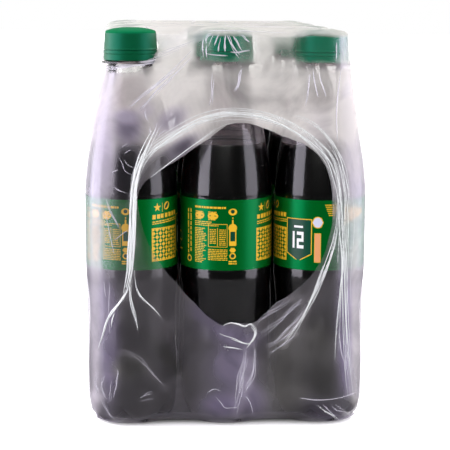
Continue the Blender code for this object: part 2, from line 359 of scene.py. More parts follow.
def shrink_film():
    """Polyethylene shrink film: clear where it lies on, and milky with the light behind it elsewhere.

    The mesh gives three values a point: "haze" is the milky share, "lilac" how cool its tint is, and
    "shade" how far its milk is painted darker, a painted shade for the light that the drink behind it keeps
    away."""
    material, both, out = clear_skin("shrink_film", "#e8e8e8", 0.32, 1.36, "#f3eeff")
    tree = material.node_tree
    # a crinkled film never mirrors much, even at a slant
    slant = both.inputs[0].links[0].from_socket
    most = add_node(tree, "ShaderNodeMath", {0: slant, 1: 0.17}, operation="MINIMUM")
    tree.links.new(most.outputs[0], both.inputs[0])
    # ripples about 20 mm across unsettle its reflections
    place = add_node(tree, "ShaderNodeTexCoord").outputs["Object"]
    grain = add_node(tree, "ShaderNodeTexNoise", {"Vector": place, "Scale": 50.0, "Detail": 1.5})
    ripple = {"Height": grain.outputs["Fac"], "Strength": 0.16, "Distance": 0.001}
    bump = add_node(tree, "ShaderNodeBump", ripple)
    shine = both.inputs[2].links[0].from_node
    tree.links.new(bump.outputs["Normal"], shine.inputs["Normal"])
    # milk: half of it sends light back, half lets it through
    haze, lilac, shade = (
        add_node(tree, "ShaderNodeAttribute", attribute_name=name).outputs["Fac"] for name in FILM_LOOK
    )
    warm_to_cool = {0: lilac, 6: linear("#f0ede6"), 7: linear("#cfc1e6")}
    tint = add_node(tree, "ShaderNodeMix", warm_to_cool, data_type="RGBA")
    # painted shade: where the shade value is high, the milk's colour is painted towards a dark grey
    lit_to_dark = {0: shade, 6: tint.outputs[2], 7: linear("#2e2a33")}
    shaded = add_node(tree, "ShaderNodeMix", lit_to_dark, data_type="RGBA")
    back = add_node(tree, "ShaderNodeBsdfDiffuse", {"Color": shaded.outputs[2]})
    through = add_node(tree, "ShaderNodeBsdfTranslucent", {"Color": shaded.outputs[2]})
    milk = add_node(tree, "ShaderNodeMixShader", {1: back.outputs[0], 2: through.outputs[0]})
    # clouds about 30 mm across make the milkiness uneven
    wisps = {"Vector": place, "Scale": 30.0, "Detail": 4.0, "Distortion": 1.0}
    cloud = add_node(tree, "ShaderNodeTexNoise", wisps)
    uneven = add_node(
        tree, "ShaderNodeMapRange",
        {"Value": cloud.outputs["Fac"], "From Min": 0.32, "From Max": 0.68, "To Min": 0.6, "To Max": 1.4},
    )
    share = add_node(
        tree, "ShaderNodeMath", {0: haze, 1: uneven.outputs["Result"]}, operation="MULTIPLY", use_clamp=True
    )
    clear_to_milk = {0: share.outputs[0], 1: both.outputs[0], 2: milk.outputs[0]}
    film = add_node(tree, "ShaderNodeMixShader", clear_to_milk)
    tree.links.new(film.outputs[0], out.inputs["Surface"])
    return material


def gathered_film():
    """The same film gathered in thick cords and sharp folds, where its layers add up to white."""
    return principled("gathered_film", "#f2f6f3", 0.28, more={"Alpha": 0.8})


def creased_film():
    """Fine single creases, which are thinner and let more show through; on the middle and right necks some
    are painted highlights.
    """
    return principled("creased_film", "#eceaf2", 0.25, more={"Alpha": 0.42})


# ---------------------------------------------------------------- turned shapes


def curve_through(points, per):
    """A smooth run through points in a plane, with this many steps between neighbours."""
    ends = [points[0], *points, points[-1]]
    run = []
    for i in range(1, len(ends) - 2):
        a, b, c, d = (np.array(p, float) for p in ends[i - 1 : i + 3])
        for step in range(per):
            t = step / per
            bend = (2 * a - 5 * b + 4 * c - d) * t**2
            twist = (3 * b - a - 3 * c + d) * t**3
            run.append(tuple(0.5 * (2 * b + (c - a) * t + bend + twist)))
    run.append(tuple(float(v) for v in points[-1]))
    return run


def turned(name, rings, closed=False, smooth=40):
    """A turned mesh from rings of points round the axis, sharp where it bends more than smooth degrees.

    A ring of one point is a pole."""
    points, starts = [], []
    for ring in rings:
        starts.append(len(points))
        points.extend(ring)
    faces = []
    pairs = list(zip(range(len(rings) - 1), range(1, len(rings))))
    if closed:
        pairs.append((len(rings) - 1, 0))
    for a, b in pairs:
        around = max(len(rings[a]), len(rings[b]))
        for j in range(around):
            k = (j + 1) % around
            if len(rings[a]) == 1:
                faces.append((starts[a], starts[b] + j, starts[b] + k))
            elif len(rings[b]) == 1:
                faces.append((starts[a] + j, starts[b], starts[a] + k))
            else:
                faces.append((starts[a] + j, starts[b] + j, starts[b] + k, starts[a] + k))
    mesh = bpy.data.meshes.new(name)
    mesh.from_pydata([tuple(c * MM for c in p) for p in points], [], faces)
    mesh.shade_smooth()
    mesh.set_sharp_from_angle(angle=math.radians(smooth))
    return mesh


def ring(radius, height, steps=ROUND):
    """Points round the axis, or the one point on it."""
    if radius <= 0:
        return [(0.0, 0.0, height)]
    angles = [math.tau * j / steps for j in range(steps)]
    return [(radius * math.cos(a), radius * math.sin(a), height) for a in angles]


# ---------------------------------------------------------------- bottles


def bottle_wall():
    """(radius, height) down the outside of the bottle, from the support ring to the heel."""
    shoulder = [
        (12.7, 201.6), (12.6, 199), (13.7, 194), (15.3, 188.5), (17.6, 181), (20.3, 170),
        (22.5, 158), (24.1, 149), (25.2, 140), (25.8, 134), (25.95, 131.6),
    ]
    waist = [
        (25.95, 89.1), (25.95, 86.5), (25.93, 84), (25.7, 81.8), (25.3, 78.5), (24.8, 74), (24.4, 69),
        (24.15, 63), (24.1, 57), (24.6, 45), (25.0, 32), (24.95, 20), (24.6, 13),
    ]
    recess = LABEL_R - 0.25
    groove = [(25.85, 130.6), (recess, 130.0), (recess, LABEL_MIDDLE), (recess, 89.6), (25.9, 89.2)]
    return curve_through(shoulder, 3) + groove + curve_through(waist, 2)


def neck_finish():
    """The mouth and the support ring, whose top the cap's band nearly meets."""
    return [
        (12.3, MOUTH), (12.7, MOUTH - 0.4), (12.7, 204.2), (13.2, 203.7), (16.0, 203.6), (16.3, 203.35),
        (16.35, 203.0), (16.3, 202.65), (16.0, 202.4), (13.4, 202.3),
    ]


def petal_base(wall=0.0):
    """Rings of the blown base, from the heel in to the middle: five feet with valleys between them."""
    heel, heel_height, middle_height, valley_rise = 24.6, 13, 4.6, 8.4
    foot = curve_through([
        (heel, heel_height), (24.3, 8.5), (23.2, 4), (21.2, 1.1), (18.8, 0), (16, 0.4), (12, 2.6), (6, 4.2),
        (0, middle_height),
    ], 3)
    rings = []
    for i in range(1, len(foot) - 1):
        swing = i / (len(foot) - 1) * math.pi / 2
        valley = (heel * math.cos(swing), heel_height - valley_rise * math.sin(swing))
        around = []
        for j in range(ROUND):
            angle = math.tau * j / ROUND
            petal = (0.5 + 0.5 * math.cos(FEET * angle)) ** 0.6
            radius = valley[0] + (foot[i][0] - valley[0]) * petal
            height = valley[1] + (foot[i][1] - valley[1]) * petal + wall * math.sin(swing)
            radius = max(radius - wall * math.cos(swing), 0.01)
            around.append((radius * math.cos(angle), radius * math.sin(angle), height))
        rings.append(around)
    return [*rings, [(0.0, 0.0, middle_height + wall)]]


def bottle_mesh():
    """One closed shell: up the inner skin from the middle of the base and down the outer skin."""
    neck = neck_finish()
    outer = [ring(r, z) for r, z in neck + bottle_wall()] + petal_base()
    bore = [(10.9, MOUTH), (10.9, 203)]
    inner = [ring(r, z) for r, z in bore + [(r - PET_WALL, z) for r, z in bottle_wall()]]
    inner += petal_base(PET_WALL)
    mesh = turned("blown_bottle", list(reversed(inner)) + outer)
    inside = ROUND * (len(inner) - 1)
    collar = inside + ROUND * len(neck)
    blown, wetted, thick, misted = range(4)
    for face in mesh.polygons:
        face.material_index = wetted if face.index < inside else thick if face.index < collar else blown
        if face.index < inside and LEVEL < face.center.z / MM < MISTED:
            face.material_index = misted
    return mesh


def drink_mesh():
    """The drink, which reaches just into the bottle's wall, with a meniscus round its surface."""
    bite = PET_WALL / 2
    wall = [(r - bite, z) for r, z in bottle_wall() if z < LEVEL]
    top = [(0, LEVEL), (16, LEVEL), (20.2, LEVEL + 0.1), (21.4, LEVEL + 0.45), (22.05, LEVEL + 1.2)]
    mesh = turned("poured_drink", [ring(r, z) for r, z in top + wall] + petal_base(bite), smooth=60)
    open_surface = 3 * ROUND  # the faces of its first three rings
    for face in mesh.polygons:
        face.material_index = int(face.index < open_surface)
    return mesh


def cap_mesh():
    """A ribbed screw cap over its tamper band, with a domed top."""
    ribs, rib_depth = 100, 0.10
    dome = 6 * 2 * ribs  # the faces of its first six rings
    outline = [
        (0, 18.0), (5, 17.85), (9, 17.4), (12.2, 16.6), (13.4, 16.15), (13.95, 15.6), (14.1, 14.9),
        (14.3, 14.2), (14.65, 7.2), (14.75, 6.4), (14.95, 6.1), (14.9, 5.85), (14.45, 5.75), (14.45, 5.45),
        (14.95, 5.35), (15.0, 5.1), (15.0, 3.9), (14.8, 3.7), (14.8, 3.45), (15.0, 3.25), (15.0, 0.3),
        (14.8, 0), (13.6, 0), (13.6, 13.9), (0, 13.9),
    ]
    ribbed = ((14.3, 14.2), (14.65, 7.2))
    rings = []
    for point in outline:
        around = ring(point[0], point[1] + CAP_LOW, 2 * ribs)
        if point in ribbed:
            shrinks = [1 - rib_depth / point[0] * (j % 2) for j in range(2 * ribs)]
            around = [(x * shrink, y * shrink, z) for shrink, (x, y, z) in zip(shrinks, around)]
        rings.append(around)
    mesh = turned("ribbed_cap", rings, smooth=30)
    for face in mesh.polygons:
        face.material_index = int(face.index < dome)
    return mesh


def label_mesh():
    """The wrap-round label."""
    thick = 0.1
    outline = [(LABEL_R, LABEL_TOP), (LABEL_R, LABEL_MIDDLE), (LABEL_R, LABEL_LOW)]
    outline += [(LABEL_R - thick, LABEL_LOW), (LABEL_R - thick, LABEL_TOP)]
    return turned("wrap_label", [ring(r, z, LABEL_STEPS) for r, z in outline], closed=True)


def stand(row, column):
    """Matrix of a bottle's own frame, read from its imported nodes."""
    low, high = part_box(f"label_{row}_{column}")
    label_middle = (low + high) / 2
    corners = [v.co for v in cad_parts[f"bottle_{row}_{column}"].data.vertices]
    highest = max(p.z for p in corners)
    # each corner near the mouth once, however many faces share it
    mouth = {tuple(round(c, 6) for c in p): p.copy() for p in corners if p.z > highest - 5 * MM}
    mouth_middle = sum(mouth.values(), Vector()) / len(mouth)
    axis = (mouth_middle - label_middle).normalized()
    across = Vector((0, 1, 0)).cross(axis).normalized()
    depth = axis.cross(across)
    foot = label_middle - axis * (LABEL_LOW + LABEL_TOP) / 2 * MM
    return Matrix((
        (across.x, depth.x, axis.x, foot.x),
        (across.y, depth.y, axis.y, foot.y),
        (across.z, depth.z, axis.z, foot.z),
        (0, 0, 0, 1),
    ))


def add_piece(name, mesh, matrix, slot, *nodes):
    """A piece of the pack in its place, on the pack's one body, in place of its CAD nodes."""
    piece = bpy.data.objects.new(name, mesh)
    piece.matrix_world = matrix
    bpy.context.scene.collection.objects.link(piece)
    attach(piece, "root")
    if nodes:
        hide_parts(*nodes)
    return piece


def add_bottles():
    """Every bottle with its drink, label, print and cap, each in place of the CAD's."""
    kinds = {
        "bottle": ("pet", bottle_mesh(), [blown_pet(), blown_pet_inside(), thick_pet(), misted_pet()]),
        "drink": ("cola", drink_mesh(), [cola(), drink_surface()]),
        "label": ("wrap", label_mesh(), [printed_film_label()]),
        # the caps under the film take a copy of the cap's green that is painted paler, a painted brightening
        "cap": ("closure", cap_mesh(), [green_pe_painted_paler(), matt_green_pe()]),
    }
    for _, mesh, materials in kinds.values():
        for material in materials:
            mesh.materials.append(material)
    printed = print_mesh()
    bare_cap = kinds["cap"][1].copy()
    bare_cap.materials[0] = moulded_green_pe()
    for row, column in SPOTS:
        matrix = STANDS[row, column]
        for node, (name, mesh, _) in kinds.items():
            if node == "cap" and (row, column) == TORN:
                mesh = bare_cap
            add_piece(f"{name}_{row}_{column}", mesh, matrix, node, f"{node}_{row}_{column}")
        # the labels that hardly show face any way
        turn = LABEL_TURNS.get((row, column), 360 * ((row * 7 + len(column) * 5) % 12) / 12)
        own = printed.copy()
        own.transform(Matrix.Rotation(math.radians(turn), 4, "Z"))
        add_piece(f"print_{row}_{column}", own, matrix, "label")


# ---------------------------------------------------------------- label print

INKS = {"gold": "#dfb12a", "white": "#eef0f0", "tan": "#dc9a66", "dark": "#00402c", "pale": "#c9cbdc"}
LABEL_TURNS = {  # degrees, by spot
    (1, "left"): -16.5, (1, "centre"): -4.3, (1, "right"): -138.0, (2, "left"): -156.0, (2, "centre"): 94.0,
}


class Print:
    """Patches of ink on the label: angles in degrees round the bottle, heights in millimetres."""

    LAYER = 0.03  # from one layer of ink to the next
    DEGREES = 180 / math.pi / LABEL_R  # round the bottle for each millimetre across

    def __init__(self):
        self.points, self.faces, self.inks = [], [], []

    def point(self, angle, height, layer):
        """A new point on a layer of ink, and its number."""
        radius = LABEL_R + self.LAYER * layer
        swing = math.radians(angle)
        self.points.append((radius * math.sin(swing) * MM, -radius * math.cos(swing) * MM, height * MM))
        return len(self.points) - 1

    def bar(self, angle0, angle1, low, high, ink="gold", layer=1, slant=0.0):
        """A rectangle, which follows the label's curve; slant raises its right end."""
        steps = max(1, math.ceil((angle1 - angle0) / 3))
        for i in range(steps + 1):
            share = i / steps
            angle = angle0 + (angle1 - angle0) * share
            bottom = self.point(angle, low + slant * share, layer)
            top = self.point(angle, high + slant * share, layer)
            if i:
                self.faces.append((bottom - 2, bottom, top, top - 2))
                self.inks.append(ink)

    def shape(self, angle, height, outline, ink="gold", layer=1):
        """A filled outline of (across, up) millimetres round a middle."""
        middle = self.point(angle, height, layer)
        first = [self.point(angle + x * self.DEGREES, height + z, layer) for x, z in outline]
        for a, b in zip(first, first[1:] + first[:1]):
            self.faces.append((middle, a, b))
            self.inks.append(ink)

    def field(self, angle, height, outline, ink="gold", layer=1):
        """A broad convex outline, cut in upright strips so that it follows the label's curve."""
        loop = outline + outline[:1]
        left, right = min(x for x, _ in outline), max(x for x, _ in outline)
        steps = max(2, math.ceil((right - left) / 1.2))
        for i in range(steps + 1):
            x = left + (right - left) * min(max(i / steps, 1e-4), 1 - 1e-4)
            cuts = [
                za + (zb - za) * (x - xa) / (xb - xa)
                for (xa, za), (xb, zb) in zip(loop, loop[1:])
                if (xa - x) * (xb - x) < 0
            ]
            bottom = self.point(angle + x * self.DEGREES, height + min(cuts), layer)
            top = self.point(angle + x * self.DEGREES, height + max(cuts), layer)
            if i:
                self.faces.append((bottom - 2, bottom, top, top - 2))
                self.inks.append(ink)

    def frame(self, angle0, angle1, low, high, thick):
        """Four gold bars round a rectangle."""
        wide = thick * self.DEGREES
        self.bar(angle0, angle1, low, low + thick)
        self.bar(angle0, angle1, high - thick, high)
        self.bar(angle0, angle0 + wide, low, high)
        self.bar(angle1 - wide, angle1, low, high)

    def lines(self, angle0, angle1, low, high, pitch, thick, draw, full=False, slant=0.0):
        """Rows of small bars, as close-set lettering looks from a distance."""
        height = high
        while height - thick >= low:
            angle = angle0
            end = angle1 if full else angle0 + (angle1 - angle0) * draw.uniform(0.6, 1.0)
            while angle < end - 0.4:
                word = min(draw.uniform(1.6, 5.0), end - angle)
                rise = slant * (angle - angle0) / (angle1 - angle0)
                self.bar(angle, angle + word, height - thick + rise, height + rise)
                angle += word + 0.7
            height -= pitch

    def mesh(self):
        """All patches as one mesh, with a material for each ink."""
        mesh = bpy.data.meshes.new("label_print")
        mesh.from_pydata(self.points, [], self.faces)
        for name, colour in INKS.items():
            mesh.materials.append(ink(f"{name}_ink", colour))
        for face, name in zip(mesh.polygons, self.inks):
            face.material_index = list(INKS).index(name)
        return mesh


def disc(radius, steps=20, squash=1.0, lean=0.0):
    """A round or oval outline; four steps make a diamond and six a hexagon."""
    out = []
    for i in range(steps):
        a = math.tau * i / steps
        x, z = radius * squash * math.cos(a), radius * math.sin(a)
        out.append((x * math.cos(lean) - z * math.sin(lean), x * math.sin(lean) + z * math.cos(lean)))
    return out


def star(radius):
    """The outline of a five-pointed star."""
    out = []
    for i in range(10):
        reach = radius if i % 2 == 0 else radius * 0.4
        a = math.pi / 2 + math.pi * i / 5
        out.append((reach * math.cos(a), reach * math.sin(a)))
    return out


def print_mesh():
    """The label's print: a facts panel, a column of small signs, a lattice square and a pennant."""
    page = Print()
    draw = random.Random(4)
    # thin lines of lettering that run up the label
    for angle in (-54.0, -49.0):
        height = 95.0 if angle < -50 else 99.0
        while height < 122:
            run = draw.uniform(1.5, 4.0)
            page.bar(angle, angle + 1.7, height, min(height + run, 123))
            height += run + 0.8
    page.shape(-51, 95, disc(1.9))
    page.shape(-51, 95, disc(1.2), "dark", 2)
    # facts panel
    page.lines(-41, 0, 123.6, 125.2, 2.0, 1.1, draw, full=True)
    for angle in (-34.0, -16.0):
        page.lines(angle - 6, angle + 7, 117.4, 122.4, 0.85, 0.5, draw)
        page.shape(angle, 120.0, disc(2.0, squash=1.5))
    page.lines(-41, -3, 113.6, 116.8, 1.0, 0.5, draw)
    page.frame(-22, 2, 102.6, 115.6, 0.3)
    page.bar(-10.5, -9.8, 103.0, 113.4)
    page.lines(-20, -12, 103.6, 112.6, 0.95, 0.5, draw, full=True)
    page.lines(-8, 0, 103.6, 112.6, 1.05, 0.5, draw, full=True)
    page.lines(-41, -24, 93.4, 113.0, 0.95, 0.5, draw)
    page.lines(-22, 2, 94.6, 101.4, 0.95, 0.5, draw, full=True)
    # column of small signs
    page.shape(8.5, 122.4, disc(1.9, squash=1.25))
    page.shape(8.5, 122.6, disc(1.1), "dark", 2)
    page.bar(7.9, 9.3, 118.6, 119.4)
    page.bar(7.6, 9.5, 114.6, 118.0)
    page.shape(8.5, 113.4, disc(2.4))
    page.bar(4.2, 12.9, 103.4, 113.4)
    page.bar(5.6, 11.5, 106.0, 111.4, "dark", 2)
    page.lines(6.2, 10.9, 106.6, 111.0, 1.0, 0.55, draw, full=True)
    page.shape(8.5, 101.0, disc(1.5, 6, 1.2))
    page.shape(8.5, 97.7, disc(1.8))
    page.shape(8.5, 97.7, disc(1.1), "dark", 2)
    page.lines(3.6, 13.4, 92.8, 95.0, 1.2, 0.8, draw, full=True)
    # star, rule and badge over two slanting lines of lettering
    page.shape(49, 124.0, star(2.5))
    page.bar(56.4, 56.9, 121.4, 126.4)
    page.shape(64, 124.6, disc(2.4, squash=0.8, lean=-0.5))
    page.shape(64, 124.6, disc(0.9, squash=2.2, lean=0.9), "dark", 2)
    for i, angle in enumerate((42.0, 48.5, 54.0, 61.0, 67.5, 74.0, 80.0)):
        page.bar(angle, angle + 4.6, 117.6 + 0.15 * i, 120.0 + 0.15 * i)
    page.lines(42, 86, 114.6, 116.4, 1.1, 0.6, draw, full=True, slant=1.0)
    lattice(page, 41, 86, 94.0, 112.6)
    pennant(page)
    # back of the label: a short gold sweep, a badge and rows of lettering
    for i in range(7):
        page.bar(162 + 5 * i, 165 + 5 * i, 115 + 0.8 * i, 125 - 0.4 * i, slant=0.6)
    page.field(232, 112, disc(6.5, 28))
    page.field(232, 112, disc(5.3, 28), "dark", 2)
    page.shape(232, 112, star(3.9), "gold", 3)
    page.lines(246, 290, 97, 121, 2.4, 1.1, draw)
    return page.mesh()


def lattice(page, angle0, angle1, low, high):
    """A square of diamonds in a gold frame."""
    page.frame(angle0, angle1, low, high, 0.6)
    count = 9
    for i in range(count):
        for j in range(count):
            angle = angle0 + (angle1 - angle0) * (i + 0.5) / count
            height = low + (high - low) * (j + 0.5) / count
            size = 1.25 if (i + j) % 2 else 0.75
            page.shape(angle, height, disc(size, 4))


def pennant(page):
    """A dark pennant edged in gold with a plain number, a tan bar and a pale disc, and a dotted corner."""
    edge = [(-7.4, 10.5), (7.4, 10.5), (7.4, -8.5), (0, -12.6), (-7.4, -8.5)]
    page.field(104, 107.4, [(x * 1.07, z * 1.045) for x, z in edge])
    page.field(104, 107.4, edge, "dark", 2)
    page.bar(98, 110, 113.2, 114.4, "white", 3)
    # a plain 12
    for angle0, angle1, low, high in (
        (96.0, 98.8, 101.6, 111.0), (102.0, 111.0, 109.2, 111.0), (108.2, 111.0, 105.4, 111.0),
        (102.0, 111.0, 105.4, 107.2), (102.0, 104.8, 101.6, 107.2), (102.0, 111.0, 101.6, 103.4),
    ):
        page.bar(angle0, angle1, low, high, "white", 3)
    page.bar(124.4, 132.6, 94.0, 110.6)
    page.bar(125.0, 132.0, 94.3, 110.3, "tan", 2)
    page.field(128.5, 116.6, disc(3.3, 24))
    page.field(128.5, 116.6, disc(2.8, 24), "pale", 2)
    for row in range(6):
        for dot in range(9 - row):
            page.shape(138 + 1.9 * dot + 0.95 * row, 126.4 - 1.15 * row, disc(0.46, 4))


# ---------------------------------------------------------------- film

TORN = (1, "left")  # the cap of this bottle has burst through
FILM_OFF = 0.3  # millimetres from bottle to film
HOLE_MIDDLE = (235, 215)  # pixels, as every path below
# the front hole's edge
HOLE = [
    (137, 200), (139, 191), (144, 183), (151, 177), (160, 171), (174, 162.5), (185, 155), (196, 147),
    (209, 139), (220, 130), (227, 125), (236, 123), (250, 123.5), (263, 128), (282, 136), (296, 141),
    (304, 144), (317, 154), (326, 167), (330, 180), (332, 192), (332, 205), (332, 224), (328, 240),
    (325, 252), (320, 262), (310, 277), (294, 291), (276, 303), (257, 321), (250, 324), (240, 323),
    (230, 323), (223, 326), (206, 315), (195, 303), (177, 283), (160, 263), (149, 245), (141, 220),
    (138, 207),
]
AROUND, ALONG = 360, 220  # steps of the film's first, coarse net
TUCK = -0.060  # the plane where the front face ends and the sides begin
FRONT_STEPS, WRAP_STEPS = (1200, 82), (600, 121)  # round and along, in the finished film
PACK_MIDDLE = np.array([0.0, 0.0, 0.11])


def film_profile(spot):
    """(radius, height) of what the film rests on: one bottle with its label and cap."""
    bottle = [
        (19.5, 0), (23.4, 4), (24.9, 12), (25.1, 32), (24.3, 70), (25.4, 81), (26, 88), (26, 131),
        (25.2, 140), (24.1, 149), (22.5, 158), (20.3, 170), (17.6, 181), (15.3, 188.5), (12.8, 198),
    ]
    cap = [
        (16.35, 202.4), (16.35, 203.6), (15.0, 204.6), (15.0, 210), (14.2, 219.6), (12.6, 220.9),
        (9.2, 221.7), (5.2, 222.1), (0.01, 222.2),
    ]
    return bottle if spot == TORN else bottle + cap


def seen_from(points, spot):
    """Points in a bottle's own frame, in metres, with their distances from its axis."""
    inner = np.array(STANDS[spot].inverted())
    local = points @ inner[:3, :3].T + inner[:3, 3]
    return local, np.hypot(local[:, 0], local[:, 1])


def pixel_ray(x, y):
    """The camera's place, and the direction in which a point of its view lies."""
    right, up, forward = camera_axes()
    aim = forward * FOCAL + right * (x - VIEW_SIDE / 2) - up * (y - VIEW_SIDE / 2)
    return Vector(CAMERA_AT), aim.normalized()


def film_hull():
    """The tightest convex wrap round all twelve bottles, as a tree for casting rays on."""
    bm = bmesh.new()
    for spot in SPOTS:
        for radius, height in film_profile(spot):
            for point in ring(radius + FILM_OFF, height, 48):
                bm.verts.new(STANDS[spot] @ (Vector(point) * MM))
    made = bmesh.ops.convex_hull(bm, input=bm.verts)
    loose = [v for v in made["geom_interior"] if isinstance(v, bmesh.types.BMVert)]
    bmesh.ops.delete(bm, geom=loose, context="VERTS")
    tree = BVHTree.FromBMesh(bm)
    bm.free()
    return tree


def evenly(line, count):
    """The same line with this many points, evenly spaced."""
    steps = np.linalg.norm(np.diff(line, axis=0), axis=1)
    run = np.concatenate([[0], np.cumsum(steps)])
    at = np.linspace(0, run[-1], count)
    return np.stack([np.interp(at, run, line[:, k]) for k in range(3)], axis=1)


def film_net(tree):
    """Lines over the hull from the front hole's edge to the back one's, as an array."""
    face_steps, side_steps = 220, 90
    middle = tree.ray_cast(*pixel_ray(*HOLE_MIDDLE))[0]
    rim = [tree.ray_cast(*pixel_ray(x, y))[0] for x, y in HOLE]
    angles = np.array([math.atan2(p.z - middle.z, p.x - middle.x) for p in rim])
    spans = np.array([math.hypot(p.z - middle.z, p.x - middle.x) for p in rim])
    order = np.argsort(angles)
    angles, spans = angles[order], spans[order]
    front = STANDS[1, "centre"].translation.y
    back = STANDS[4, "centre"].translation.y
    first, last = (Vector((middle.x, y, middle.z)) for y in (front, back))
    lines = []
    for i in range(AROUND):
        turn = math.tau * i / AROUND - math.pi
        span = np.interp(turn, angles, spans, period=math.tau)
        flat = Vector((math.cos(turn), 0, math.sin(turn)))
        # the swing from straight ahead at which the line meets the hole's edge, closer with every try
        ahead = LABEL_R * MM
        for _ in range(5):
            start = math.atan2(span, ahead)
            aim = flat * math.sin(start) + Vector((0, -math.cos(start), 0))
            ahead = front - tree.ray_cast(first, aim)[0].y
        line = []
        for swing in np.linspace(start, math.pi / 2, face_steps):
            aim = flat * math.sin(swing) + Vector((0, -math.cos(swing), 0))
            line.append(tree.ray_cast(first, aim)[0])
        for y in np.linspace(front, back, side_steps)[1:]:
            line.append(tree.ray_cast(Vector((middle.x, y, middle.z)), flat)[0])
        for swing in np.linspace(math.pi / 2, start, face_steps)[1:]:
            aim = flat * math.sin(swing) + Vector((0, math.cos(swing), 0))
            line.append(tree.ray_cast(last, aim)[0])
        lines.append(evenly(np.array([tuple(p) for p in line]), ALONG))
    return np.array(lines)


def keep_out(points):
    """Points pushed out of every bottle, cap and label."""
    for spot in SPOTS:
        local, radius = seen_from(points, spot)
        profile = np.array(film_profile(spot))
        height = local[:, 2] / MM
        wall = (np.interp(height, profile[:, 1], profile[:, 0]) + FILM_OFF) * MM
        top = profile[-1, 1] + FILM_OFF
        inside = (radius < wall) & (height < top) & (height > -FILM_OFF)
        if not inside.any():
            continue
        # out by the shorter way: sideways to the wall, or up over the top
        sideways = inside & (wall - radius <= (top - height) * MM)
        scale = np.where(sideways, wall / np.maximum(radius, 1e-6), 1.0)
        local[:, :2] *= scale[:, None]
        local[inside & ~sideways, 2] = top * MM
        outer = np.array(STANDS[spot])
        moved = local @ outer[:3, :3].T + outer[:3, 3]
        points[inside] = moved[inside]
    return points


def shrunk(net):
    """The net drawn tight: every point moves to the middle of its neighbours, but not into a bottle."""
    rounds, along_share = 36, 0.65
    lowest = net[:, :, 2].min()
    for _ in range(rounds):
        side = (np.roll(net, 1, axis=0) + np.roll(net, -1, axis=0)) / 2
        line = (net[:, :-2] + net[:, 2:]) / 2
        net[:, 1:-1] = (1 - along_share) * side[:, 1:-1] + along_share * line
        inner = keep_out(net[:, 1:-1].reshape(-1, 3))
        net[:, 1:-1] = inner.reshape(net[:, 1:-1].shape)
        net[:, :, 2] = np.maximum(net[:, :, 2], lowest)
    return net


def smooth_at(net, i, j):
    """The net between its points: i runs round and closes, j runs from rim to rim."""

    def weights(t):
        return (
            -0.5 * t + t**2 - 0.5 * t**3,
            1 - 2.5 * t**2 + 1.5 * t**3,
            0.5 * t + 2 * t**2 - 1.5 * t**3,
            -0.5 * t**2 + 0.5 * t**3,
        )

    i0, j0 = np.floor(i).astype(int), np.floor(j).astype(int)
    wi, wj = weights(i - i0), weights(j - j0)
    total = np.zeros(np.broadcast(i, j).shape + (3,))
    for a in range(4):
        for b in range(4):
            part = net[(i0 + a - 1) % net.shape[0], np.clip(j0 + b - 1, 0, net.shape[1] - 1)]
            total += (wi[a] * wj[b])[..., None] * part
    return total


def periodic_noise(count, waves, draw):
    """A smooth random run that closes on itself."""
    t = np.arange(count) / count
    total = np.zeros(count)
    for wave in waves:
        total += draw.normal() * np.sin(math.tau * (wave * t + draw.random()))
    return total / len(waves) ** 0.5


def net_mesh(name, points):
    """A mesh of quads over a net of points, less what the torn cap has burst, and the points it uses."""
    n, m = points.shape[:2]
    here = np.arange(n * m).reshape(n, m)
    beside = np.roll(here, -1, axis=0)
    quads = np.stack([here[:, :-1], beside[:, :-1], beside[:, 1:], here[:, 1:]], axis=-1).reshape(-1, 4)
    quads = quads[off_torn_cap(points.reshape(-1, 3)[quads].mean(axis=1))]
    used, quads = np.unique(quads, return_inverse=True)
    mesh = bpy.data.meshes.new(name)
    mesh.from_pydata(points.reshape(-1, 3)[used].tolist(), [], quads.reshape(-1, 4).tolist())
    mesh.shade_smooth()
    return mesh, used


def normals_of(points):
    """Outward directions over a closed net of points."""
    round_way = np.roll(points, -1, axis=0) - np.roll(points, 1, axis=0)
    line_way = np.gradient(points, axis=1)
    out = np.cross(line_way, round_way)
    out /= np.maximum(np.linalg.norm(out, axis=-1, keepdims=True), 1e-12)
    flip = np.sign((out * (points - PACK_MIDDLE)).sum(-1))
    return out * np.where(np.median(flip) < 0, -1, 1)


def off_torn_cap(middles):
    """True for what is left of the film round the cap that has burst through."""
    local, radius = seen_from(middles, TORN)
    radius, height = radius / MM, local[:, 2] / MM
    neck = (radius < 12.9) & (height > 190)
    collar = (radius < 17.0) & (height > 200.8) & (height < 205)
    cap = (radius < 15.5) & (height > 204)
    return ~(neck | collar | cap)


